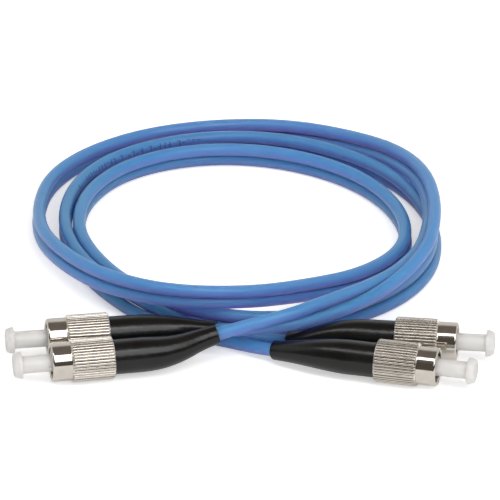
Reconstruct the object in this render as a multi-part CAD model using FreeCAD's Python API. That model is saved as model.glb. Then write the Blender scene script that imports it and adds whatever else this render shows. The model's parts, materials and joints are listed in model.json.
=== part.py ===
"""Duplex fibre patch cord: a zip cord lying in loose turns, with two screw-type fibre plugs at each end.

Units are millimetres. The cord and the plugs lie on Z = 0. The origin is on that floor, under the
middle of the four plugs, and the turns of the cord lie behind them, towards +Y.
Each plug is drawn along its own axis first, nose towards +X, from the rear face of its coupling nut.
Its diameters are worked out from the ferrule outwards, one wall after another.
"""
import FreeCAD
import Part
import math
import os

# cord: two round jackets side by side
JACKET_DIA = 3.0
HALF_SPACING = 3.26

# ferrule, its holder, its spring and the fibre behind it
FERRULE_DIA = 2.5
FERRULE_LENGTH = 10.5
FERRULE_CHAMFER = 0.7
FERRULE_RECESS = 1.2
FERRULE_TRAVEL = 1.5
HOLDER_WALL = 0.3
HOLDER_COLLAR = 2.45
HOLDER_STEM = 2.9
HOLDER_SLOT = 0.8
SPRING_WIRE = 0.5
SPRING_SIDE = 0.14
SPRING_LENGTH = 6.0
SPRING_TURNS = 5.5
BUFFER_DIA = 0.9

# plug frame
FRAME_WALL = 0.45
FRAME_FRONT = 1.0
COLLAR_STEP = 0.65
COLLAR_LENGTH = 1.5
KEY_WIDTH = 2.0
KEY_HEIGHT = 0.8
KEY_LENGTH = 2.4

# rear body, yarn and crimp sleeve
CUP_WALL = 0.53
STOP_WALL = 1.0
NECK_DIA = 3.4
NECK_LENGTH = 5.0
NECK_GROOVES = 5
NECK_GROOVE_DEPTH = 0.2
YARN_THICKNESS = 0.21
CRIMP_WALL = 0.5
CRIMP_TAIL = 3.0
JACKET_GAP = 0.45

# coupling nut and the split ring that keeps it on the frame
NUT_WALL = 0.41
GROOVE_DEPTH = 0.34
RIDGES = 42
RIDGE_SHARE = 0.62
KNURL_LENGTH = 9.9
KNURL_CHAMFER = 0.35
BARREL_WALL = 0.8
BARREL_LENGTH = 4.5
BARREL_CHAMFER = 0.3
THREAD_RELIEF = 0.45
NUT_SHOULDER = 2.0
NUT_TRAVEL = 2.0
RING_WIDTH = 0.6
RING_THICKNESS = 0.52
RING_GAP = 1.4

# strain relief boot
BOOT_WALL = 0.6
BOOT_LAP = 1.0
BOOT_STRAIGHT = 7.0
BOOT_LENGTH = 25.0
BOOT_TAIL_WALL = 0.7

# dust cap
CAP_WALL = 0.7
CAP_LAP = 5.5
CAP_SHOWN = 6.5
CAP_HEAD_DIA = 6.1
CAP_HEAD_LENGTH = 1.9
CAP_BORE_ROOM = 1.0

# clearances: pieces that run on each other, that seat in each other, that pass each other, and end gaps
SLIP = 0.05
SEAT = 0.02
ROOM = 0.2
END_GAP = 0.1

# for each plug: the middle of its knurl on the floor plan, the way its nose points, how far behind that
# middle its lead starts to bend, where the tail of its boot comes to, and how far its cap stands proud
PLUGS = {
    "left_front": {"seat": (-35.8, -4.6), "yaw": 191.0, "bend": 18.5, "tail": (-9.0, 3.4, 6.9), "proud": 0.1},
    "left_rear": {"seat": (-37.0, 7.4), "yaw": 188.5, "bend": 20.5, "tail": (-8.0, 7.7, 5.8), "proud": 1.0},
    "right_front": {"seat": (33.8, -6.4), "yaw": -14.0, "bend": 20.0, "tail": (4.0, 4.4, 2.7), "proud": 0.3},
    "right_rear": {"seat": (38.3, 5.3), "yaw": -7.0, "bend": 18.0, "tail": (10.4, 8.6, 2.5), "proud": 0.0},
}

# the lay of the cord from the left plugs to the right ones: the middle between its two halves,
# and the roll in degrees, where 0 has half b straight above half a
LAY = [
    (8.0, 7.8, 8.8, -105), (22.4, 17.3, 9.0, -92), (35.4, 30.4, 9.2, -107), (42.6, 46.6, 9.7, -132),
    (44.5, 64.0, 9.6, -160), (42.0, 82.0, 9.3, -168), (36.0, 99.0, 7.0, -170), (26.0, 113.5, 3.9, -175),
    (10.5, 122.0, 3.2, -185), (-7.0, 123.0, 3.1, -195), (-24.5, 118.5, 3.1, -200), (-39.0, 108.0, 3.1, -200),
    (-48.0, 93.0, 3.4, -190), (-50.5, 75.0, 4.0, -185), (-49.0, 57.5, 5.4, -180), (-42.5, 41.0, 7.2, -180),
    (-33.0, 26.5, 9.0, -175), (-18.5, 16.0, 10.6, -165), (-1.0, 17.5, 9.5, -160), (12.5, 28.0, 6.0, -165),
    (26.5, 38.5, 3.7, -175), (36.5, 52.5, 3.2, -180), (37.4, 70.0, 3.2, -185), (30.5, 88.0, 3.2, -190),
    (18.5, 101.5, 3.1, -195), (2.0, 109.0, 3.1, -200), (-15.5, 108.5, 3.1, -200), (-31.0, 99.5, 3.1, -200),
    (-39.5, 83.5, 3.2, -190), (-41.0, 66.0, 3.2, -180), (-35.5, 49.5, 3.2, -180), (-26.0, 34.5, 3.2, -180),
    (-13.5, 21.5, 3.2, -180), (2.5, 15.5, 3.2, -180), (19.5, 19.5, 3.2, -180), (33.0, 31.5, 3.2, -190),
    (41.4, 46.6, 3.2, -195), (44.5, 64.5, 3.2, -195), (41.2, 82.0, 3.1, -207), (32.5, 97.5, 3.1, -200),
    (19.0, 110.0, 3.1, -200), (3.0, 116.5, 3.1, -200), (-14.5, 115.5, 3.1, -200), (-31.0, 107.0, 3.1, -200),
    (-41.0, 92.0, 3.2, -190), (-44.5, 74.5, 3.2, -180), (-42.5, 58.0, 3.2, -180), (-35.5, 42.0, 3.2, -180),
    (-26.5, 28.5, 3.1, -155), (-20.0, 21.0, 2.6, -125), (-13.5, 15.5, 1.9, -95),
]
# the short stretches past the split, from the shared lay to the tails of the right boots
SPLIT_A = [(-4.6, 10.6, 1.7)]
SPLIT_B = [(-3.6, 13.9, 1.7), (4.0, 11.4, 1.8)]

ORIGIN = FreeCAD.Vector(0, 0, 0)
NOSE = FreeCAD.Vector(1, 0, 0)
UP = FreeCAD.Vector(0, 0, 1)

# radii, from the ferrule outwards
ferrule_r = FERRULE_DIA / 2
holder_bore_r = ferrule_r + SEAT
stem_r = holder_bore_r + HOLDER_WALL
chamber_r = stem_r + SPRING_WIRE + 2 * SPRING_SIDE
frame_r = chamber_r + FRAME_WALL
collar_r = frame_r + COLLAR_STEP
thread_r = collar_r + 3 * SLIP
barrel_r = thread_r + BARREL_WALL
cup_r = frame_r + SEAT + CUP_WALL
boot_socket_r = cup_r + SLIP
boot_r = boot_socket_r + BOOT_WALL
counterbore_r = boot_r + ROOM
knurl_root_r = counterbore_r + NUT_WALL
knurl_r = knurl_root_r + GROOVE_DEPTH
neck_r = NECK_DIA / 2
yarn_r = neck_r + SEAT + YARN_THICKNESS
crimp_r = yarn_r + SEAT + CRIMP_WALL
jacket_r = JACKET_DIA / 2
buffer_r = BUFFER_DIA / 2
cap_bore_r = ferrule_r + SLIP
cap_r = cap_bore_r + CAP_WALL

# places along a plug's axis, from the rear face of the nut
nut_x = KNURL_LENGTH + BARREL_LENGTH
cup_x = BOOT_LAP + ROOM
shoulder_x = cup_x + NUT_TRAVEL + ROOM
shoulder_end_x = shoulder_x + NUT_SHOULDER
collar_x = shoulder_end_x + END_GAP
frame_x = collar_x + COLLAR_LENGTH
chamber_x = frame_x - FRAME_FRONT
holder_x = chamber_x - SLIP
spring_end_x = holder_x - HOLDER_COLLAR
spring_x = spring_end_x - SPRING_LENGTH
neck_x = spring_x - STOP_WALL
neck_end_x = neck_x - NECK_LENGTH
jacket_x = neck_end_x - JACKET_GAP
crimp_end_x = jacket_x - CRIMP_TAIL
ferrule_x = nut_x - FERRULE_RECESS
ferrule_end_x = ferrule_x - FERRULE_LENGTH


def turned(profile):
    """A solid turned about X from (x, radius) corners."""
    corners = [FreeCAD.Vector(x, 0, r) for x, r in profile]
    face = Part.Face(Part.makePolygon(corners + corners[:1]))
    return face.revolve(ORIGIN, NOSE, 360)


def rod(x0, x1, radius):
    """A plain cylinder along X."""
    return Part.makeCylinder(radius, x1 - x0, FreeCAD.Vector(x0, 0, 0), NOSE)


def rounded(points):
    """Straight runs joined by tangent arcs, each as large as its two runs allow."""
    edges = []
    radii = []
    start = points[0]
    for before, here, after in zip(points, points[1:], points[2:]):
        back = before - here
        ahead = after - here
        reach = 0.45 * min(back.Length, ahead.Length)
        turn = math.pi - back.getAngle(ahead)
        radius = reach / math.tan(turn / 2)
        back.normalize()
        ahead.normalize()
        inward = back + ahead
        inward.normalize()
        entry = here + back * reach
        leave = here + ahead * reach
        middle = here + inward * (math.hypot(radius, reach) - radius)
        edges.append(Part.LineSegment(start, entry).toShape())
        edges.append(Part.Arc(entry, middle, leave).toShape())
        radii.append(radius)
        start = leave
    edges.append(Part.LineSegment(start, points[-1]).toShape())
    return edges, radii


def place_on(edges, length):
    """The point and the direction at a length along a path."""
    for edge in edges[:-1]:
        if length <= edge.Length:
            break
        length -= edge.Length
    else:
        edge = edges[-1]
    at = edge.getParameterByLength(length)
    return edge.valueAt(at), edge.tangentAt(at)


def ring_at(point, along, radius):
    """A circle square to a path, with its seam on the upper side all the way."""
    side = UP.cross(along)
    circle = Part.makeCircle(radius)
    circle.Placement = FreeCAD.Placement(point, FreeCAD.Rotation(side, UP, along, "ZXY"))
    return Part.Wire([circle])


def tube(edges, radius):
    """A round solid along a path."""
    return Part.Wire(edges).makePipeShell([ring_at(*place_on(edges, 0), radius)], True, False)


def coupling_nut():
    """Turned nut: a grip with straight grooves, a threaded barrel, and a shoulder with a ring groove."""
    pitch = 2 * math.pi / RIDGES
    ridge = [(0, knurl_r), (RIDGE_SHARE, knurl_r), ((1 + RIDGE_SHARE) / 2, knurl_root_r)]
    outline = []
    for i in range(RIDGES):
        for share, radius in ridge:
            turn = (i + share) * pitch
            outline.append(FreeCAD.Vector(0, radius * math.sin(turn), radius * math.cos(turn)))
    grip = Part.Face(Part.makePolygon(outline + outline[:1])).extrude(NOSE * KNURL_LENGTH)
    grip = grip.common(turned([
        (0, 0), (0, knurl_r - KNURL_CHAMFER), (KNURL_CHAMFER, knurl_r),
        (KNURL_LENGTH - KNURL_CHAMFER, knurl_r), (KNURL_LENGTH, knurl_r - KNURL_CHAMFER), (KNURL_LENGTH, 0),
    ]))
    barrel = turned([
        (shoulder_end_x, 0), (shoulder_end_x, barrel_r), (nut_x - BARREL_CHAMFER, barrel_r),
        (nut_x, barrel_r - BARREL_CHAMFER), (nut_x, 0),
    ])
    bore_r = frame_r + ROOM
    groove_x = shoulder_x + (NUT_SHOULDER - RING_WIDTH) / 2 - END_GAP
    groove_r = frame_r + SLIP + RING_THICKNESS + SLIP
    groove_end_x = groove_x + RING_WIDTH + 2 * END_GAP
    relief_r = thread_r + THREAD_RELIEF
    relief_x = frame_x + ROOM
    mouth_x = nut_x - BARREL_CHAMFER
    inside = turned([
        (-ROOM, 0), (-ROOM, counterbore_r), (shoulder_x, counterbore_r), (shoulder_x, bore_r),
        (groove_x, bore_r), (groove_x, groove_r), (groove_end_x, groove_r), (groove_end_x, bore_r),
        (shoulder_end_x, bore_r), (shoulder_end_x, relief_r), (relief_x, relief_r),
        (relief_x + THREAD_RELIEF, thread_r), (mouth_x, thread_r), (nut_x, thread_r + BARREL_CHAMFER),
        (nut_x + ROOM, thread_r + BARREL_CHAMFER), (nut_x + ROOM, 0),
    ])
    return grip.fuse(barrel).cut(inside)


def retaining_ring():
    """Split spring ring that sits in the nut's groove and runs on the frame."""
    x = shoulder_x + (NUT_SHOULDER - RING_WIDTH) / 2
    inner_r = frame_r + SLIP
    outer_r = inner_r + RING_THICKNESS
    ring = rod(x, x + RING_WIDTH, outer_r).cut(rod(x - ROOM, x + RING_WIDTH + ROOM, inner_r))
    gap_corner = FreeCAD.Vector(x - ROOM, -RING_GAP / 2, 0)
    return ring.cut(Part.makeBox(RING_WIDTH + 2 * ROOM, RING_GAP, outer_r + ROOM, gap_corner))


def plug_frame():
    """Inner frame: a collar with a forward key, and a barrel that houses the ferrule spring."""
    hole_r = ferrule_r + ROOM
    body = turned([
        (spring_x + END_GAP, chamber_r), (spring_x + END_GAP, frame_r), (collar_x, frame_r),
        (collar_x, collar_r), (frame_x - END_GAP, collar_r), (frame_x, collar_r - END_GAP),
        (frame_x, hole_r), (chamber_x, hole_r), (chamber_x, chamber_r),
    ])
    key_r = collar_r - END_GAP
    corner = FreeCAD.Vector(chamber_x, -KEY_WIDTH / 2, key_r - KEY_HEIGHT)
    key = Part.makeBox(FRAME_FRONT + KEY_LENGTH, KEY_WIDTH, KEY_HEIGHT, corner)
    return body.fuse(key.common(rod(chamber_x, frame_x + KEY_LENGTH, key_r)))


def ferrule():
    """Ceramic ferrule with a chamfered, slightly domed tip."""
    tip_r = ferrule_r - FERRULE_CHAMFER / 2
    body = turned([
        (ferrule_end_x, 0), (ferrule_end_x, ferrule_r), (ferrule_x - FERRULE_CHAMFER, ferrule_r),
        (ferrule_x, tip_r), (ferrule_x, 0),
    ])
    dome_r = 4 * FERRULE_DIA
    dome = Part.makeSphere(dome_r, FreeCAD.Vector(ferrule_x - dome_r, 0, 0))
    return body.common(dome.fuse(rod(ferrule_end_x, ferrule_x - FERRULE_CHAMFER, FERRULE_DIA)))


def ferrule_holder():
    """Metal holder pressed on the back of the ferrule: a slotted collar, and a stem inside the spring."""
    collar_outer_r = chamber_r - END_GAP
    bore_r = buffer_r + SEAT
    body = turned([
        (spring_end_x - HOLDER_STEM, bore_r), (spring_end_x - HOLDER_STEM, stem_r), (spring_end_x, stem_r),
        (spring_end_x, collar_outer_r), (holder_x - ROOM, collar_outer_r), (holder_x, collar_outer_r - ROOM),
        (holder_x, holder_bore_r), (ferrule_end_x, holder_bore_r), (ferrule_end_x, bore_r),
    ])
    slot_foot = (stem_r + collar_outer_r) / 2
    corner = FreeCAD.Vector(spring_end_x, -HOLDER_SLOT / 2, slot_foot)
    slot = Part.makeBox(HOLDER_COLLAR / 2, HOLDER_SLOT, collar_outer_r, corner)
    for quarter in range(4):
        body = body.cut(slot.rotated(ORIGIN, NOSE, 90 * quarter))
    return body


def ferrule_spring():
    """Coil spring of square wire between the ferrule holder and the rear body."""
    height = SPRING_LENGTH - SPRING_WIRE - 2 * END_GAP
    middle_r = (chamber_r + stem_r) / 2
    half = SPRING_WIRE / 2
    coil = Part.makeHelix(height / SPRING_TURNS, height, middle_r)
    square = [(-half, -half), (half, -half), (half, half), (-half, half), (-half, -half)]
    section = Part.makePolygon([FreeCAD.Vector(middle_r + out, 0, up) for out, up in square])
    wire = coil.makePipeShell([section], True, True)
    wire.rotate(ORIGIN, UP.cross(NOSE), 90)
    wire.translate(NOSE * (spring_x + END_GAP + half))
    return wire


def fibre_buffer():
    """Buffered fibre from the back of the ferrule into the neck of the rear body."""
    return rod(neck_end_x + FERRULE_TRAVEL, ferrule_end_x - SEAT, buffer_r)


def rear_body():
    """Cup pressed on the back of the frame, with a grooved neck for the crimp."""
    hole_r = buffer_r + END_GAP
    step = NECK_LENGTH / (NECK_GROOVES + 1)
    grooves = []
    for i in range(NECK_GROOVES):
        x = neck_x - (i + 1) * step
        grooves += [(x + NECK_GROOVE_DEPTH, neck_r), (x, neck_r - NECK_GROOVE_DEPTH),
                    (x - NECK_GROOVE_DEPTH, neck_r)]
    front = [(spring_x, hole_r), (spring_x, frame_r + SEAT), (cup_x, frame_r + SEAT), (cup_x, cup_r - END_GAP),
             (cup_x - END_GAP, cup_r), (neck_x, cup_r), (neck_x, neck_r)]
    return turned(front + grooves + [(neck_end_x, neck_r), (neck_end_x, hole_r)])


def strength_yarn():
    """Aramid yarn laid back over the neck, under the crimp."""
    outer = rod(neck_end_x + END_GAP, neck_x - 2 * END_GAP, yarn_r)
    return outer.cut(rod(neck_end_x, neck_x, neck_r + SEAT))


def crimp_sleeve():
    """Stepped sleeve crimped over the yarn and on to the jacket."""
    inner_r = yarn_r + SEAT
    jacket_bore_r = jacket_r + SEAT
    tail_r = jacket_bore_r + CRIMP_WALL
    step_x = jacket_x - END_GAP
    return turned([
        (neck_x - END_GAP, inner_r), (neck_x - END_GAP, crimp_r), (step_x, crimp_r),
        (step_x - ROOM, tail_r), (crimp_end_x, tail_r), (crimp_end_x, jacket_bore_r),
        (step_x, jacket_bore_r), (step_x + END_GAP, inner_r),
    ])


def dust_cap(proud):
    """Push-on cap: a hollow shaft over the ferrule and a larger closed head with an eased rim."""
    head_x = nut_x + CAP_SHOWN
    end_x = head_x + CAP_HEAD_LENGTH
    head_r = CAP_HEAD_DIA / 2
    rim_x = head_x + CAP_HEAD_LENGTH / 3
    bore_end_x = ferrule_x + CAP_BORE_ROOM
    cap = turned([
        (nut_x - CAP_LAP, cap_bore_r), (nut_x - CAP_LAP, cap_r - END_GAP), (nut_x - CAP_LAP + ROOM, cap_r),
        (head_x, cap_r), (head_x, head_r - END_GAP), (head_x + END_GAP, head_r), (rim_x, head_r),
        (end_x - ROOM, head_r - 2 * ROOM), (end_x, head_r - 4 * ROOM), (end_x, 0),
        (bore_end_x, 0), (bore_end_x - cap_bore_r / 2, cap_bore_r),
    ])
    cap.translate(NOSE * proud)
    return cap


def boot(edges):
    """Moulded boot: straight over the crimp, then a soft taper that bends with the lead."""
    straight = BOOT_LAP + BOOT_STRAIGHT
    taper = BOOT_LENGTH - BOOT_STRAIGHT
    slim = boot_r - (jacket_r + SLIP + BOOT_TAIL_WALL)
    shape = [(straight * part, boot_r) for part in (0, 0.35, 0.7, 1)]
    for step in range(1, 9):
        part = step / 8
        ease = 0.35 * part + 0.65 * part * part * (3 - 2 * part)
        shape.append((straight + taper * part, boot_r - slim * ease))
    skin = Part.makeLoft([ring_at(*place_on(edges, x), r) for x, r in shape], True, False)
    front, back = place_on(edges, 0)
    for radius, end_x in ((boot_socket_r, neck_x - SLIP), (crimp_r + SLIP, crimp_end_x - ROOM)):
        skin = skin.cut(Part.makeCylinder(radius, BOOT_LAP - end_x, front, back))
    return skin.cut(tube(edges, jacket_r + SLIP))


def halves(lay):
    """The route points of the two halves, on either side of the middle of the lay."""
    rows = ([], [])
    for i, (x, y, z, roll) in enumerate(lay):
        before = lay[max(i - 1, 0)]
        after = lay[min(i + 1, len(lay) - 1)]
        out = FreeCAD.Vector(after[1] - before[1], before[0] - after[0], 0)
        out.normalize()
        lift = UP * math.cos(math.radians(roll)) + out * math.sin(math.radians(roll))
        rows[0].append(FreeCAD.Vector(x, y, z) - lift * (HALF_SPACING / 2))
        rows[1].append(FreeCAD.Vector(x, y, z) + lift * (HALF_SPACING / 2))
    return rows


def on_axis(plug, x):
    """The point of a plug's axis at a place counted from the rear face of its nut."""
    yaw = math.radians(plug["yaw"])
    nose = FreeCAD.Vector(math.cos(yaw), math.sin(yaw), 0)
    return FreeCAD.Vector(*plug["seat"], knurl_r) + nose * (x - KNURL_LENGTH / 2)


def lead(name):
    """Route points from the end of the jacket inside a plug to the tail of its boot."""
    plug = PLUGS[name]
    bend = on_axis(plug, KNURL_LENGTH / 2 - plug["bend"])
    return [on_axis(plug, jacket_x), bend, FreeCAD.Vector(*plug["tail"])]


os.makedirs("parts", exist_ok=True)
shapes = {}

row_a, row_b = halves(LAY)
split_a = [FreeCAD.Vector(*point) for point in SPLIT_A]
split_b = [FreeCAD.Vector(*point) for point in SPLIT_B]
route_a = lead("left_front") + row_a + split_a + lead("right_front")[::-1]
route_b = lead("left_rear") + row_b + split_b + lead("right_rear")[::-1]
for name, route in (("cord_half_a", route_a), ("cord_half_b", route_b)):
    edges, radii = rounded(route)
    length = sum(edge.Length for edge in edges)
    shapes[name] = tube(edges, jacket_r)
    ratio = shapes[name].Volume / (length * math.pi * jacket_r ** 2)
    print(name, "length %.1f mm," % length, "volume over section times length %.5f" % ratio)
    print("radii", " ".join("%.0f" % radius for radius in radii))

routes = {"left_front": route_a, "left_rear": route_b, "right_front": route_a[::-1], "right_rear": route_b[::-1]}
for name, plug in PLUGS.items():
    pieces = {
        "coupling_nut": coupling_nut(),
        "retaining_ring": retaining_ring(),
        "plug_frame": plug_frame(),
        "ferrule": ferrule(),
        "ferrule_holder": ferrule_holder(),
        "ferrule_spring": ferrule_spring(),
        "fibre_buffer": fibre_buffer(),
        "rear_body": rear_body(),
        "strength_yarn": strength_yarn(),
        "crimp_sleeve": crimp_sleeve(),
        "dust_cap": dust_cap(plug["proud"]),
    }
    seat = FreeCAD.Placement(on_axis(plug, 0), FreeCAD.Rotation(UP, plug["yaw"]))
    for piece, shape in pieces.items():
        shape.Placement = seat.multiply(shape.Placement)
        shapes[name + "_" + piece] = shape
    skirt = Part.LineSegment(on_axis(plug, BOOT_LAP), routes[name][0]).toShape()
    shapes[name + "_boot"] = boot([skirt] + rounded(routes[name][:5])[0])

for name, shape in shapes.items():
    shape.exportStep("parts/" + name + ".step")
    print("%-28s %8.2f mm3" % (name, shape.Volume), "solids", len(shape.Solids), "valid", shape.isValid())
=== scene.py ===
import bmesh
import bpy
import json
import numpy as np
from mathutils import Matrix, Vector


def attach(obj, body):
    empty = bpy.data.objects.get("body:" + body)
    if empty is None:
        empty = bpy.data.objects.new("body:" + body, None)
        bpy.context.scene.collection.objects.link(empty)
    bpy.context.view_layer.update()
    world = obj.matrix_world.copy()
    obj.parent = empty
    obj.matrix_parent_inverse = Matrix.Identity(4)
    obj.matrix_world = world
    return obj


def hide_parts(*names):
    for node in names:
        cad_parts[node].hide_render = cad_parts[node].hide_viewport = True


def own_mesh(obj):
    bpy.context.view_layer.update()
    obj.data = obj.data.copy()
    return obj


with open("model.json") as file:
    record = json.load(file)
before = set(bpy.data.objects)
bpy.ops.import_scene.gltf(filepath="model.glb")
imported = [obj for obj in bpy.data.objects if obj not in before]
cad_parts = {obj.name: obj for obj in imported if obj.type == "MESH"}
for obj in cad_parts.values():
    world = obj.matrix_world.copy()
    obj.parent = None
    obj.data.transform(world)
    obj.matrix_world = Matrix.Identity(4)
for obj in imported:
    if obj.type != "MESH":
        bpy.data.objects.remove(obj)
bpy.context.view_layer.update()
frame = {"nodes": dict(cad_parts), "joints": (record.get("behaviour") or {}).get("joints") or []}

# The cord is a pair of round jackets of soft blue plastic, extruded side by side and joined by a
# thin web. Each half carries one fibre, from the crimp of a left plug to the crimp of a right one.
# It was coiled for storage and let go, so it lies in loose turns that cross at the front.
JACKET_R = 0.0015
JACKET_SIDES = 32
JACKET_END = 0.0139
HALF_SPACING = 0.00326
SPLINE_STEPS = 12
LEAD_POINTS = 3
MERGE_DISTANCE = 1e-7
SHARP_ANGLE = np.radians(38)
MARKED_STRETCH = (0.7682, 0.8133)
MARKED_BAND = (0.25, 0.41)
STROKES_PER_METRE = 760.0
PLUGS = ["left_front", "left_rear", "right_front", "right_rear"]
# x, y and height of the middle of the pair in metres, and the roll of the pair in degrees
LAY = np.array([
    (0.0085, 0.0065, 0.0090, -165), (0.0160, 0.0116, 0.0091, -188), (0.0232, 0.0170, 0.0091, -225),
    (0.0297, 0.0235, 0.0092, -262), (0.0353, 0.0310, 0.0095, -288), (0.0393, 0.0391, 0.0098, -304),
    (0.0419, 0.0475, 0.0100, -318), (0.0436, 0.0643, 0.0098, -340), (0.0420, 0.0820, 0.0093, -348),
    (0.0360, 0.0990, 0.0070, -350), (0.0260, 0.1135, 0.0039, -355), (0.0105, 0.1220, 0.0032, -365),
    (-0.0070, 0.1230, 0.0031, -375), (-0.0245, 0.1185, 0.0031, -380), (-0.0390, 0.1080, 0.0031, -380),
    (-0.0480, 0.0930, 0.0034, -370), (-0.0505, 0.0750, 0.0040, -365), (-0.0490, 0.0575, 0.0054, -360),
    (-0.0425, 0.0410, 0.0072, -360), (-0.0330, 0.0265, 0.0090, -355), (-0.0185, 0.0160, 0.0106, -345),
    (-0.0010, 0.0175, 0.0095, -340), (0.0125, 0.0280, 0.0060, -345), (0.0265, 0.0385, 0.0037, -355),
    (0.0365, 0.0525, 0.0032, -360), (0.0374, 0.0700, 0.0032, -365), (0.0309, 0.0880, 0.0032, -370),
    (0.0185, 0.1015, 0.0031, -375), (0.0020, 0.1090, 0.0031, -380), (-0.0155, 0.1085, 0.0031, -380),
    (-0.0310, 0.0995, 0.0031, -380), (-0.0395, 0.0835, 0.0032, -370), (-0.0410, 0.0652, 0.0032, -358),
    (-0.0361, 0.0490, 0.0032, -346), (-0.0274, 0.0339, 0.0031, -342), (-0.0143, 0.0213, 0.0032, -352),
    (0.0025, 0.0155, 0.0032, -360), (0.0195, 0.0195, 0.0032, -360), (0.0337, 0.0304, 0.0032, -370),
    (0.0421, 0.0457, 0.0032, -375), (0.0442, 0.0638, 0.0032, -375), (0.0412, 0.0820, 0.0031, -387),
    (0.0329, 0.0979, 0.0031, -380), (0.0190, 0.1100, 0.0031, -380), (0.0030, 0.1165, 0.0031, -380),
    (-0.0145, 0.1155, 0.0031, -380), (-0.0310, 0.1070, 0.0031, -380), (-0.0410, 0.0920, 0.0032, -370),
    (-0.0443, 0.0743, 0.0032, -360), (-0.0428, 0.0577, 0.0032, -358), (-0.0367, 0.0414, 0.0032, -362),
    (-0.0276, 0.0278, 0.0031, -392), (-0.0205, 0.0207, 0.0026, -428), (-0.0135, 0.0155, 0.0019, -455),
])
# how far behind its seat each lead turns off the plug's axis, and where it leaves the boot
BENDS = {"left_front": 0.0185, "left_rear": 0.0205, "right_front": 0.0200, "right_rear": 0.0180}
TAILS = {"left_front": (-0.0090, 0.0034, 0.0069), "left_rear": (-0.0080, 0.0077, 0.0058),
         "right_front": (0.0040, 0.0044, 0.0027), "right_rear": (0.0104, 0.0086, 0.0025)}
# where the two halves part on their way to the right plugs
SPLIT_A = [(-0.0046, 0.0106, 0.0017)]
SPLIT_B = [(-0.0036, 0.0139, 0.0017), (0.0040, 0.0114, 0.0018)]

spins = {joint["name"]: joint for joint in frame["joints"]}
seat = {plug: np.array(spins[plug + "_nut_spin"]["pos_m"]) for plug in PLUGS}
nose = {plug: np.array(spins[plug + "_nut_spin"]["axis"]) for plug in PLUGS}


def unit(vectors):
    """Each vector divided by its length."""
    return vectors / np.linalg.norm(vectors, axis=-1, keepdims=True)


def halves(lay):
    """Points half a spacing to either side of the lay: up * cos(roll) + outwards * sin(roll)."""
    index = np.arange(len(lay))
    run = lay[np.minimum(index + 1, len(lay) - 1)] - lay[np.maximum(index - 1, 0)]
    out = unit(np.column_stack([run[:, 1], -run[:, 0], np.zeros(len(lay))]))
    roll = np.radians(lay[:, 3:])
    step = (np.cos(roll) * (0, 0, 1) + np.sin(roll) * out) * HALF_SPACING / 2
    return lay[:, :3] - step, lay[:, :3] + step


def lead(plug):
    """From the end of the jacket inside a plug, along its axis, to the tail of its boot."""
    inside = seat[plug] - nose[plug] * JACKET_END
    bend = seat[plug] - nose[plug] * BENDS[plug]
    return np.array([inside, bend, TAILS[plug]])


def spline_points(points):
    """Points along a smooth NURBS line that has the route's points as its control points."""
    line = bpy.data.curves.new("route", "CURVE")
    line.dimensions = "3D"
    spline = line.splines.new("NURBS")
    spline.points.add(len(points) - 1)
    spline.points.foreach_set("co", np.column_stack([points, np.ones(len(points))]).ravel())
    spline.order_u = 3
    spline.use_endpoint_u = True
    spline.resolution_u = SPLINE_STEPS
    holder = bpy.data.objects.new("route", line)
    mesh = bpy.data.meshes.new_from_object(holder)
    found = np.empty(len(mesh.vertices) * 3)
    mesh.vertices.foreach_get("co", found)
    bpy.data.objects.remove(holder)
    bpy.data.curves.remove(line)
    bpy.data.meshes.remove(mesh)
    return found.reshape(-1, 3)


def length_along(path):
    """The distance from the start of a path to each of its points."""
    return np.concatenate([[0], np.cumsum(np.linalg.norm(np.diff(path, axis=0), axis=1))])


def carried(path, toward, wide, high, around):
    """An ellipse carried along a path.

    path + wide * cos(angle) * toward + high * sin(angle) * across
    """
    along = unit(np.gradient(path, axis=0))
    first = unit(toward - (toward * along).sum(1, keepdims=True) * along)[:, None]
    second = np.cross(along[:, None], first)
    angle = np.linspace(0, 2 * np.pi, around, endpoint=False)[None, :, None]
    wide = np.broadcast_to(wide, len(path))[:, None, None]
    high = np.broadcast_to(high, len(path))[:, None, None]
    return path[:, None] + wide * np.cos(angle) * first + high * np.sin(angle) * second


def grid_piece(name, grid, lengths, body, material, closed=False):
    """A mesh from rows of points that close round.

    Its UV map is the length along and the share of a turn. Its crown attribute is a point's height
    over the middle of its row, divided by the greatest in the row.
    """
    rows, columns = grid.shape[:2]
    i = np.arange(rows if closed else rows - 1)[:, None]
    j = np.arange(columns)[None]
    corners = [(i, j), (i + 1, j), (i + 1, j + 1), (i, j + 1)]
    faces = np.stack([(a % rows) * columns + b % columns for a, b in corners], -1)
    stretch = np.append(lengths, lengths[-1])
    uv = [np.stack(np.broadcast_arrays(stretch[a], b / columns), -1) for a, b in corners]
    mesh = bpy.data.meshes.new(name)
    mesh.from_pydata(grid.reshape(-1, 3).tolist(), [], faces.reshape(-1, 4).tolist())
    mesh.uv_layers.new(name="wrap").data.foreach_set("uv", np.stack(uv, 2).ravel())
    level = grid[..., 2] - grid[..., 2].mean(1, keepdims=True)
    level /= np.maximum(np.abs(level).max(1, keepdims=True), 1e-6)
    mesh.attributes.new("crown", "FLOAT", "POINT").data.foreach_set("value", level.ravel())
    tidy = bmesh.new()
    tidy.from_mesh(mesh)
    bmesh.ops.remove_doubles(tidy, verts=tidy.verts, dist=MERGE_DISTANCE)
    bmesh.ops.recalc_face_normals(tidy, faces=tidy.faces)
    tidy.to_mesh(mesh)
    tidy.free()
    mesh.shade_smooth()
    mesh.set_sharp_from_angle(angle=SHARP_ANGLE)
    mesh.materials.append(material)
    piece = bpy.data.objects.new(name, mesh)
    bpy.context.scene.collection.objects.link(piece)
    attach(piece, body)
    return piece


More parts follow.
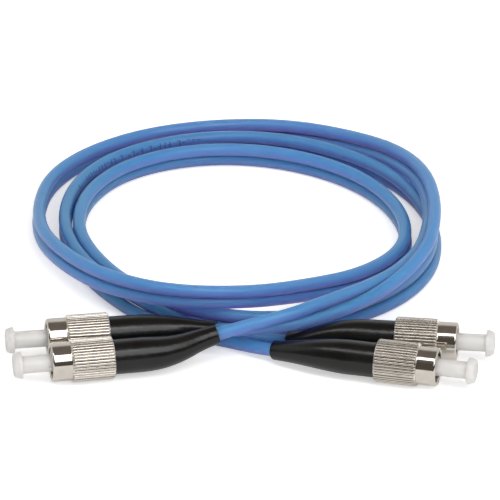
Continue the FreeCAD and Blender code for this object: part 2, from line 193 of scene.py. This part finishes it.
class Socket:
    """An output of a node: operators on it add Math nodes, and node() adds any other."""

    def __init__(self, tree, out):
        self.tree = tree
        self.out = out

    def node(self, kind, settings, sockets, output=0):
        made = self.tree.nodes.new(kind)
        for key, value in settings.items():
            setattr(made, key, value)
        for key, value in sockets.items():
            if isinstance(value, Socket):
                self.tree.links.new(value.out, made.inputs[key])
            else:
                made.inputs[key].default_value = value
        return Socket(self.tree, made.outputs[output]) if made.outputs else None

    def math(self, operation, *others):
        values = dict(enumerate((self, *others)))
        return self.node("ShaderNodeMath", {"operation": operation}, values)

    def __add__(self, other):
        return self.math("ADD", other)

    def __sub__(self, other):
        return self.math("SUBTRACT", other)

    def __mul__(self, other):
        return self.math("MULTIPLY", other)

    def __gt__(self, other):
        return self.math("GREATER_THAN", other)

    def __lt__(self, other):
        return self.math("LESS_THAN", other)

    __radd__ = __add__
    __rmul__ = __mul__


def new_finish(name, coordinates):
    """A new material, and the socket of its Object or UV coordinates."""
    material = bpy.data.materials.new(name)
    material.use_nodes = True
    material.node_tree.nodes.clear()
    place = material.node_tree.nodes.new("ShaderNodeTexCoord")
    return material, Socket(material.node_tree, place.outputs[coordinates])


def surface(place, sockets):
    """The Principled shader of a material, with these values or links on its sockets."""
    shader = place.node("ShaderNodeBsdfPrincipled", {}, sockets)
    place.node("ShaderNodeOutputMaterial", {}, {"Surface": shader})


def axis_of(place, axis):
    """One value of a place: its X, Y or Z."""
    return place.node("ShaderNodeSeparateXYZ", {}, {"Vector": place}, axis)


def grain(place, scale, detail=2.0, stretch=(1, 1, 1)):
    """Noise from 0 to 1 at so many bumps to the metre, drawn out where stretch is small."""
    at = place.node("ShaderNodeMapping", {}, {"Vector": place, "Scale": stretch})
    return place.node("ShaderNodeTexNoise", {}, {"Vector": at, "Scale": scale, "Detail": detail})


def chance(cell):
    """A random value from 0 to 1 that is the same all over a cell."""
    return cell.node("ShaderNodeTexWhiteNoise", {"noise_dimensions": "1D"}, {"W": cell})


def soft_step(value, start, end):
    """From 0, where the value is at start, softly to 1, where it is at end."""
    return value.node("ShaderNodeMapRange", {"interpolation_type": "SMOOTHSTEP"},
                      {"Value": value, "From Min": start, "From Max": end})


def blend(factor, low, high):
    """A colour that runs from low, where the factor is 0, to high, where it is 1."""
    return factor.node("ShaderNodeMix", {"data_type": "RGBA"}, {0: factor, 6: low, 7: high}, 2)


def bump(place, height, depth):
    """The normal of a surface that is raised by height times depth, in metres."""
    return place.node("ShaderNodeBump", {},
                      {"Height": height, "Distance": depth, "Strength": 1.0})


def jacket_blue(name, marks):
    """Satin blue cable plastic with draw lines along it, and painted shade: darker and more violet
    underneath, lighter on top.

    Where marks gives a stretch of the jacket, faint inked strokes run along it.
    """
    material, place = new_finish(name, "UV")
    solid = place.node("ShaderNodeTexCoord", {}, {}, "Object")
    along = axis_of(place, "X")
    share = axis_of(place, "Y")
    crown = place.node("ShaderNodeAttribute", {"attribute_name": "crown"}, {}, "Fac")
    mottle = grain(solid, 180.0, 3.0)
    lines = grain(place, 40.0, 3.0, (2.0, 12.0, 1.0))
    pores = grain(solid, 6000.0)
    # Painted shade: each jacket is darker and more violet underneath and lighter on top, by the
    # height of its skin in its row.
    painted_top_light = soft_step(crown + 0.2 * mottle, -0.45, 0.95)
    tone = blend(painted_top_light, (0.098, 0.172, 0.432, 1), (0.056, 0.220, 0.455, 1))
    if marks:
        strokes = along * STROKES_PER_METRE
        cell = strokes.math("FLOOR")
        within = strokes - cell
        second = chance(cell + 0.5)
        upright = (within < 0.30) * (chance(cell) > 0.35)
        level = share - 0.27 - 0.12 * second
        bars = (within < 0.74) * (level.math("ABSOLUTE") < 0.016)
        inked = upright.math("MAXIMUM", bars) * (second > 0.16)
        inked = inked * (share > MARKED_BAND[0]) * (share < MARKED_BAND[1])
        inked = inked * (along > marks[0]) * (along < marks[1])
        wear = grain(solid, 2600.0)
        tone = blend(inked * (0.45 + 0.5 * wear), tone, (0.035, 0.050, 0.200, 1))
    surface(place, {"Base Color": tone, "Roughness": 0.23 + 0.12 * lines,
                    "Specular IOR Level": 0.30, "Subsurface Weight": 1.0,
                    "Subsurface Radius": (1.0, 0.7, 1.0), "Subsurface Scale": 0.011,
                    "Normal": bump(place, 0.6 * lines + 0.4 * pores, 0.00001)})
    return material


row_a, row_b = halves(LAY)
route_a = np.vstack([lead("left_front"), row_a, SPLIT_A, lead("right_front")[::-1]])
route_b = np.vstack([lead("left_rear"), row_b, SPLIT_B, lead("right_rear")[::-1]])
path_a = spline_points(route_a)
path_b = spline_points(route_b)
joined = np.arange(LEAD_POINTS * SPLINE_STEPS, len(LAY) * SPLINE_STEPS + 1)
jacket = jacket_blue("jacket_blue", None)
inked_jacket = jacket_blue("jacket_blue_inked", MARKED_STRETCH)
for name, path, other, plug, blue in (
        ("cord_half_a", path_a, path_b, "left_front", jacket),
        ("cord_half_b", path_b, path_a, "left_rear", inked_jacket)):
    rows = np.arange(len(path)).clip(joined[0], joined[-1])
    ends = np.r_[0, np.arange(len(path)), len(path) - 1]
    radius = np.r_[0, np.full(len(path), JACKET_R), 0]
    skin = carried(path, other[rows] - path[rows], 1, 1, JACKET_SIDES) - path[:, None]
    skin = path[ends][:, None] + skin[ends] * radius[:, None, None]
    half = grid_piece(name + "_jacket", skin, length_along(path)[ends], "cord", blue)
    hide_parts(name)

# A thin web of the same plastic joins the two jackets all along the lay, extruded with them. It was
# slit at both ends so that each plug has a lead of its own, and it shows only as a narrow valley
# between the halves.
WEB_GRIP = 0.0004
WEB_THICKNESS = 0.0009
WEB_SIDES = 12
WEB_TAPER_ROWS = 8
middle = (path_a[joined] + path_b[joined]) / 2
across = path_b[joined] - path_a[joined]
from_end = np.minimum(joined - joined[0], joined[-1] - joined)
taper = np.minimum(1, from_end / WEB_TAPER_ROWS)
reach = (np.linalg.norm(across, axis=1) / 2 - JACKET_R + WEB_GRIP) * taper
web = carried(middle, across, reach, WEB_THICKNESS / 2 * taper, WEB_SIDES)
grid_piece("cord_web", web, length_along(middle), "cord", jacket)

# Inside each plug the pieces that hold the fibre are turned from brass, steel and aluminium,
# pressed and crimped together, and closed in by the boot and the nut. The plated frame and the
# white ceramic ferrule show in the mouth of the nut.


def two_tone(value, start, low, end, high):
    """A colour ramp from low, where the value is at start, to high, where it is at end."""
    made = value.tree.nodes.new("ShaderNodeValToRGB")
    stops = zip(made.color_ramp.elements, (start, end), (low, high))
    for element, position, colour in stops:
        element.position = position
        element.color = (*colour, 1)
    value.tree.links.new(value.out, made.inputs["Fac"])
    return Socket(value.tree, made.outputs["Color"])


def plain_finish(name, low, high, metal, rough, scale):
    """A finish whose colour runs softly from low to high, with a little more or less shine."""
    material, place = new_finish(name, "Object")
    mottle = grain(place, scale, 3.0)
    surface(place, {"Base Color": two_tone(mottle, 0.3, low, 0.7, high), "Metallic": metal,
                    "Roughness": rough + 0.12 * mottle,
                    "Normal": bump(place, grain(place, 9000.0), 0.000004)})
    return material


inner_finishes = {piece: plain_finish(*values) for piece, *values in (
    ("ferrule", "ceramic", (0.80, 0.79, 0.75), (0.84, 0.83, 0.80), 0.0, 0.12, 300.0),
    ("ferrule_holder", "turned_brass", (0.62, 0.45, 0.18), (0.70, 0.52, 0.22), 1.0, 0.22, 900.0),
    ("fibre_buffer", "buffer_white", (0.72, 0.72, 0.70), (0.78, 0.78, 0.76), 0.0, 0.35, 500.0),
    ("ferrule_spring", "spring_steel", (0.42, 0.42, 0.43), (0.52, 0.52, 0.53), 1.0, 0.24, 1500.0),
    ("retaining_ring", "ring_steel", (0.40, 0.40, 0.42), (0.50, 0.50, 0.52), 1.0, 0.26, 1500.0),
    ("rear_body", "plated_brass", (0.56, 0.53, 0.48), (0.64, 0.61, 0.55), 1.0, 0.24, 900.0),
    ("plug_frame", "satin_nickel", (0.50, 0.48, 0.44), (0.60, 0.57, 0.52), 1.0, 0.22, 900.0),
    ("crimp_sleeve", "crimp_aluminium", (0.60, 0.60, 0.61), (0.72, 0.72, 0.73), 1.0, 0.30, 900.0),
    ("strength_yarn", "aramid", (0.66, 0.52, 0.10), (0.80, 0.64, 0.16), 0.0, 0.62, 4000.0))}
for plug in PLUGS:
    for piece, finish in inner_finishes.items():
        frame["nodes"][plug + "_" + piece].material_slots[0].material = finish

# A coil spring of square steel wire presses the ferrule forward. It stands between the holder's
# collar and the rear body, wound in five and a half turns.
SPRING_REAR = -0.00735
SPRING_LENGTH = 0.0058
SPRING_WIRE = 0.0005
SPRING_R = 0.00196
SPRING_TURNS = 5.5
SPRING_ROWS = 133
UP = np.array([0, 0, 1.0])


def coiled(plug, turn):
    """Square wire on a helix, closed at its ends.

    seat + climb * nose + radius * (sin(turn) * side - cos(turn) * up)
    """
    climb = SPRING_REAR + SPRING_WIRE / 2 + (SPRING_LENGTH - SPRING_WIRE) * turn / turn[-1]
    is_end = np.arange(len(turn)) % (len(turn) - 1) == 0
    size = np.where(is_end, 0, SPRING_WIRE / 2)[:, None]
    ahead = climb[:, None] + size * (-1, -1, 1, 1)
    out = SPRING_R + size * (-1, 1, 1, -1)
    ring = np.sin(turn)[:, None] * np.cross(UP, nose[plug]) - np.cos(turn)[:, None] * UP
    return seat[plug] + ahead[..., None] * nose[plug] + out[..., None] * ring[:, None]


turn = np.linspace(0, 2 * np.pi * SPRING_TURNS, SPRING_ROWS)
turn = turn[np.r_[0, np.arange(SPRING_ROWS), SPRING_ROWS - 1]]
for plug in PLUGS:
    coil = grid_piece(plug + "_spring_coil", coiled(plug, turn), SPRING_R * turn, "cord",
                      inner_finishes["ferrule_spring"])
    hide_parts(plug + "_ferrule_spring")
    plug + "_ferrule_float"
    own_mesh(coil)

# The coupling nut is turned from brass and plated with bright nickel: a grip with straight grooves
# rolled round it, a plain barrel, and an inside thread. It runs free on the split ring and can be
# drawn back.
KNURL_R = 0.00495
KNURL_LENGTH = 0.0099
KNURL_END_R = 0.0046
BARREL_R = 0.0044
MOUTH = 0.0144
BORE_R = 0.0036
RELIEF_R = 0.00405
COLLAR_R = 0.0030
RING_GROOVE_R = 0.00342
REAR_R = 0.0042
GROOVE_DEPTH = 0.00034
GROOVE_AT = 0.81
RIDGES = 42
GRIP_STRETCH = (0.0007, 0.0104)
THREAD_PITCH = 0.00075
THREAD_DEPTH = 0.00040
THREAD_FRONT = 0.01408
THREAD_REAR = 0.0077
THREAD_RUN_IN = 0.0004
THREAD_ROWS = 76


def eased(corners, ease):
    """A closed profile with each corner cut back by its ease, and rounded by half of the cut."""
    before = unit(np.roll(corners, 1, 0) - corners) * ease[:, None]
    after = unit(np.roll(corners, -1, 0) - corners) * ease[:, None]
    rounding = [corners + before, corners + (before + after) / 4, corners + after]
    return np.stack(rounding, 1).reshape(-1, 2)


def turned(plug, along, radius, turn):
    """Rings round a plug's axis.

    rear of the grip + along * nose + radius * (cos(turn) * up + sin(turn) * side)
    """
    rear = seat[plug] - nose[plug] * KNURL_LENGTH / 2
    rings = np.cos(turn)[:, None] * UP + np.sin(turn)[:, None] * np.cross(UP, nose[plug])
    return rear + along[:, None, None] * nose[plug] + radius[:, :, None] * rings


def bright_nickel():
    """Bright plate with fine scratches round it, a little dull film, and painted shade darkening the
    grooves of the grip.
    """
    material, place = new_finish("bright_nickel", "UV")
    solid = place.node("ShaderNodeTexCoord", {}, {}, "Object")
    along = axis_of(place, "X")
    ridge = (axis_of(place, "Y") * RIDGES).math("FRACT")
    # Painted shade: a mask of the grip's grooves, where the plate is darkened towards brown.
    painted_groove_shade = soft_step((ridge - GROOVE_AT).math("ABSOLUTE"), 0.17, 0.07)
    on_grip = (along > GRIP_STRETCH[0]) * (along < GRIP_STRETCH[1])
    film = grain(solid, 500.0, 4.0)
    scratch = grain(place, 3000.0, 2.0, (12.0, 0.002, 1.0))
    plate = two_tone(film, 0.25, (0.56, 0.525, 0.475), 0.75, (0.65, 0.612, 0.560))
    colour = blend(painted_groove_shade * on_grip * 0.6, plate, (0.14, 0.12, 0.10, 1))
    surface(place, {"Base Color": colour, "Metallic": 1.0,
                    "Roughness": 0.07 + 0.03 * film + 0.03 * scratch + 0.12 * on_grip,
                    "Normal": bump(place, scratch, 0.0000004)})
    return material


nut_outside = [(0, REAR_R), (0, KNURL_END_R), (0.00035, KNURL_R), (0.0007, KNURL_R),
               (0.0092, KNURL_R), (0.00955, KNURL_R), (KNURL_LENGTH, KNURL_END_R),
               (KNURL_LENGTH, BARREL_R), (0.0101, BARREL_R), (0.0138, BARREL_R),
               (0.0141, BARREL_R), (MOUTH, 0.0041), (MOUTH, 0.0039), (0.0141, BORE_R)]
nut_inside = [(0.00765, BORE_R), (0.0072, RELIEF_R), (0.0054, RELIEF_R), (0.0054, COLLAR_R),
              (0.0048, COLLAR_R), (0.0048, RING_GROOVE_R), (0.0040, RING_GROOVE_R),
              (0.0040, COLLAR_R), (0.0034, COLLAR_R), (0.0034, REAR_R)]
nut_ease = np.zeros(len(nut_outside) + len(nut_inside))
nut_ease[:len(nut_outside)] = [0.08, 0.06, 0.1, 0, 0, 0.1, 0.06, 0.03, 0, 0, 0.12, 0.06, 0.05, 0.02]
profile = eased(np.array(nut_outside + nut_inside), nut_ease * 0.001)
shell, bore = np.split(profile, [3 * len(nut_outside)])
thread_at = np.linspace(THREAD_FRONT, THREAD_REAR, THREAD_ROWS)
along = np.concatenate([shell[:, 0], thread_at, bore[:, 0]])
across_ridge = np.array([0.00, 0.06, 0.31, 0.56, 0.62, 0.70, 0.77, 0.85, 0.93])
cut = np.tile([0.22, 0.10, 0.00, 0.10, 0.22, 0.58, 0.94, 0.94, 0.58], RIDGES) * GROOVE_DEPTH
turn = ((np.arange(RIDGES)[:, None] + across_ridge) * 2 * np.pi / RIDGES).ravel()
on_knurl = shell[:, :1] < KNURL_LENGTH + 0.00001
grip_r = np.where(on_knurl, np.minimum(shell[:, 1:], KNURL_R - cut), shell[:, 1:])
phase = thread_at[:, None] / THREAD_PITCH + turn / (2 * np.pi)
tooth = np.clip(1.2 * (1 - np.abs(2 * (phase % 1) - 1)) - 0.1, 0, 1)
run_in = np.minimum(THREAD_FRONT - thread_at, thread_at - THREAD_REAR) / THREAD_RUN_IN
thread_r = BORE_R + THREAD_DEPTH * tooth * np.clip(run_in, 0, 1)[:, None]
bore_r = np.broadcast_to(bore[:, 1:], (len(bore), len(turn)))
radius = np.vstack([grip_r, thread_r, bore_r])
thread_line = np.column_stack([thread_at, np.full(THREAD_ROWS, BORE_R)])
unrolled = length_along(np.concatenate([shell, thread_line, bore]))
nickel = bright_nickel()
for plug in PLUGS:
    skin = turned(plug, along, radius, turn)
    nut = grid_piece(plug + "_nut_plated", skin, unrolled, plug + "_nut", nickel,
                     closed=True)
    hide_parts(plug + "_coupling_nut")

# The boot is moulded from soft black rubber and pushed over the crimp and the cup behind the
# frame. It is straight there, and then thins towards its tail so that the lead bends gently where
# it leaves the plug.
BOOT_R = 0.0040
BOOT_STRAIGHT = 0.0080
BOOT_TAPER = 0.0180
BOOT_TAIL = BOOT_STRAIGHT + BOOT_TAPER
BOOT_TAIL_R = 0.00225
BOOT_CUP_R = 0.0034
BOOT_CUP_END = 0.00455
BOOT_CRIMP_R = 0.0025
BOOT_CRIMP_END = 0.01315
BOOT_BORE_R = 0.00155
BOOT_UNDER_NUT = 0.001
BOOT_SIDES = 72
STRAIGHT_ROWS = 6
TAPER_ROWS = 24
LEAD_ROWS = 60


def boot_black():
    """Black rubber with a fine moulded grain and a faint grey bloom on it."""
    material, place = new_finish("boot_black", "Object")
    bloom = grain(place, 260.0, 4.0)
    fine = grain(place, 1500.0, 5.0)
    tone = two_tone(bloom, 0.3, (0.003, 0.003, 0.003), 0.75, (0.007, 0.007, 0.007))
    surface(place, {"Base Color": tone, "Roughness": 0.15 + 0.08 * bloom + 0.08 * fine,
                    "Specular IOR Level": 0.38, "Normal": bump(place, fine, 0.00004)})
    return material


taper = np.linspace(0, 1, TAPER_ROWS)
slimming = 0.35 * taper + 0.65 * taper ** 2 * (3 - 2 * taper)
slim_r = BOOT_R - (BOOT_R - BOOT_TAIL_R) * slimming
straight = np.linspace(0.0008, BOOT_STRAIGHT, STRAIGHT_ROWS, endpoint=False)
boot_corners = np.vstack([
    [(0, BOOT_CUP_R), (0, BOOT_R)],
    np.column_stack([straight, np.full(STRAIGHT_ROWS, BOOT_R)]),
    np.column_stack([BOOT_STRAIGHT + BOOT_TAPER * taper, slim_r]),
    [(BOOT_TAIL, BOOT_BORE_R), (0.02, BOOT_BORE_R), (0.0165, BOOT_BORE_R),
     (BOOT_CRIMP_END, BOOT_BORE_R), (BOOT_CRIMP_END, BOOT_CRIMP_R),
     (BOOT_CUP_END, BOOT_CRIMP_R), (BOOT_CUP_END, BOOT_CUP_R)]])
tail_row = 1 + STRAIGHT_ROWS + TAPER_ROWS
boot_ease = np.zeros(len(boot_corners))
boot_ease[1] = 0.0003
boot_ease[[tail_row, tail_row + 1]] = 0.0001
profile = eased(boot_corners, boot_ease)
rubber = boot_black()
angle = np.linspace(0, 2 * np.pi, BOOT_SIDES, endpoint=False)[None, :, None]
ways = {"left_front": path_a, "left_rear": path_b,
        "right_front": path_a[::-1], "right_rear": path_b[::-1]}
for plug in PLUGS:
    skirt = seat[plug] - nose[plug] * (KNURL_LENGTH / 2 - BOOT_UNDER_NUT)
    share = np.linspace(0, 1, 8, endpoint=False)[:, None]
    way = np.vstack([skirt + share * (ways[plug][0] - skirt), ways[plug][:LEAD_ROWS]])
    distance = length_along(way)
    heading = np.gradient(way, distance, axis=0)
    at, ahead = [np.column_stack([np.interp(profile[:, 0], distance, line[:, k]) for k in range(3)])
                 for line in (way, heading)]
    first = unit(np.cross(unit(ahead), UP))
    second = np.cross(unit(ahead), first)
    ring = np.cos(angle) * first[:, None] + np.sin(angle) * second[:, None]
    skin = at[:, None] + profile[:, 1, None, None] * ring
    boot = grid_piece(plug + "_boot_rubber", skin, length_along(profile), "cord", rubber,
                      closed=True)
    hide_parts(plug + "_boot")

# The dust cap is moulded from milky soft plastic and pushed over the ferrule to keep it clean: a
# hollow shaft with a larger closed head to pull it by. Each was pushed home by hand, so they stand
# out a little unevenly.
PROUD = {"left_front": 0.0001, "left_rear": 0.0010, "right_front": 0.0003, "right_rear": 0.0}
CAP_SIDES = 96


def cap_milk():
    """Milky plastic that lets some light through, with a soft shine and faint flow marks."""
    material, place = new_finish("cap_milk", "Object")
    flow = grain(place, 420.0, 3.0)
    tone = two_tone(flow, 0.3, (0.650, 0.640, 0.625), 0.75, (0.700, 0.690, 0.675))
    surface(place, {"Base Color": tone, "Roughness": 0.30 + 0.1 * flow,
                    "Transmission Weight": 0.12, "Subsurface Weight": 0.8,
                    "Subsurface Radius": (1, 1, 1), "Subsurface Scale": 0.004,
                    "Normal": bump(place, grain(place, 3500.0), 0.00001)})
    return material


# along the plug and out from its axis, and the ease of each corner, in millimetres
cap_corners = np.array([(14.2, 0), (13.55, 1.3), (8.9, 1.3), (8.9, 1.9), (9.1, 2.0), (9.4, 2.0),
                        (20.6, 2.0), (20.9, 2.0), (20.9, 2.95), (21.0, 3.05), (21.533, 3.05),
                        (22.6, 2.65), (22.8, 2.25), (22.8, 1.9), (22.8, 0)])
cap_ease = np.array([0, 0.1, 0.05, 0.03, 0.05, 0, 0, 0.15, 0.04, 0.05, 0.2, 0.15, 0.15, 0, 0])
profile = eased(cap_corners * 0.001, cap_ease * 0.001)
turn = np.linspace(0, 2 * np.pi, CAP_SIDES, endpoint=False)
radius = np.broadcast_to(profile[:, 1:], (len(profile), CAP_SIDES))
milk = cap_milk()
for plug in PLUGS:
    skin = turned(plug, profile[:, 0] + PROUD[plug], radius, turn)
    cap = grid_piece(plug + "_cap_moulded", skin, length_along(profile), plug + "_cap", milk)
    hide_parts(plug + "_dust_cap")

# The floor is a sheet of white card. A large soft box stands at the front right, a thin one hangs
# over the left, and a low one in front fills the shade and isn't mirrored. The room has a pale wall
# behind, and a dark ceiling and a dark doorway in front that the nickel shows.
FLOOR_HALF = 3.0
FLOOR_GLOW = (0.44, 0.44, 0.44, 1)
LAMP_AIM = Vector((0, 0.06, 0))
sheet = bpy.data.meshes.new("floor")
sheet.from_pydata([(-FLOOR_HALF, -FLOOR_HALF, 0), (FLOOR_HALF, -FLOOR_HALF, 0),
                   (FLOOR_HALF, FLOOR_HALF, 0), (-FLOOR_HALF, FLOOR_HALF, 0)], [], [(0, 1, 2, 3)])
card, place = new_finish("white_card", "Object")
direct, shine, through = [place.node("ShaderNodeLightPath", {}, {}, ray)
                          for ray in ("Is Camera Ray", "Is Glossy Ray", "Is Transmission Ray")]
watched = direct.math("MAXIMUM", 0.25 * shine.math("MAXIMUM", through))
glow = blend(watched, (0, 0, 0, 1), FLOOR_GLOW)
surface(place, {"Base Color": (0.93, 0.93, 0.93, 1), "Roughness": 0.9, "Specular IOR Level": 0.1,
                "Emission Color": glow, "Emission Strength": 1.0})
sheet.materials.append(card)
floor = bpy.data.objects.new("floor", sheet)
bpy.context.scene.collection.objects.link(floor)

for name, wide, tall, energy, spot in (("soft_box", 0.9, 0.8, 7.4, (0.44, -0.71, 0.88)),
                                       ("strip_box", 1.1, 0.25, 3.6, (-0.25, -0.40, 1.05)),
                                       ("fill_box", 1.4, 0.6, 10.0, (0.0, -1.45, 0.45))):
    light = bpy.data.lights.new(name, "AREA")
    light.shape = "RECTANGLE"
    light.size = wide
    light.size_y = tall
    light.energy = energy
    lamp = bpy.data.objects.new(name, light)
    lamp.location = spot
    lamp.rotation_euler = (LAMP_AIM - lamp.location).to_track_quat("-Z", "Y").to_euler()
    lamp.visible_glossy = name != "fill_box"
    bpy.context.scene.collection.objects.link(lamp)

world = bpy.data.worlds.new("room")
world.use_nodes = True
world.node_tree.nodes.clear()
bpy.context.scene.world = world
directions = world.node_tree.nodes.new("ShaderNodeTexCoord")
toward = Socket(world.node_tree, directions.outputs["Generated"])
front = soft_step(axis_of(toward, "Y"), -0.1, -0.45)
ceiling = soft_step(axis_of(toward, "Z"), 0.60, 0.86)
walls = blend(front, (0.82, 0.81, 0.79, 1), (0.10, 0.09, 0.08, 1))
room = blend(ceiling, walls, (0.19, 0.168, 0.15, 1))
sky = toward.node("ShaderNodeBackground", {}, {"Color": room, "Strength": 1.0})
toward.node("ShaderNodeOutputWorld", {}, {"Surface": sky})
bpy.context.scene.view_settings.view_transform = "Standard"

# The camera looks down on it from the front, with a long lens from far enough away that the turns
# keep their shape.
CAMERA_AIM = np.array([0.0002, 0.062, 0.0])
CAMERA_DISTANCE = 1.5
CAMERA_RISE = np.radians(26)
CAMERA_LENS = 455.9
camera = bpy.data.cameras.new("camera")
camera.lens = CAMERA_LENS
camera.sensor_width = 36
camera.clip_end = 20
eye = bpy.data.objects.new("camera", camera)
back = np.array([0, -np.cos(CAMERA_RISE), np.sin(CAMERA_RISE)])
eye.location = CAMERA_AIM + back * CAMERA_DISTANCE
eye.rotation_euler = (np.pi / 2 - CAMERA_RISE, 0, 0)
bpy.context.scene.collection.objects.link(eye)
bpy.context.scene.camera = eye
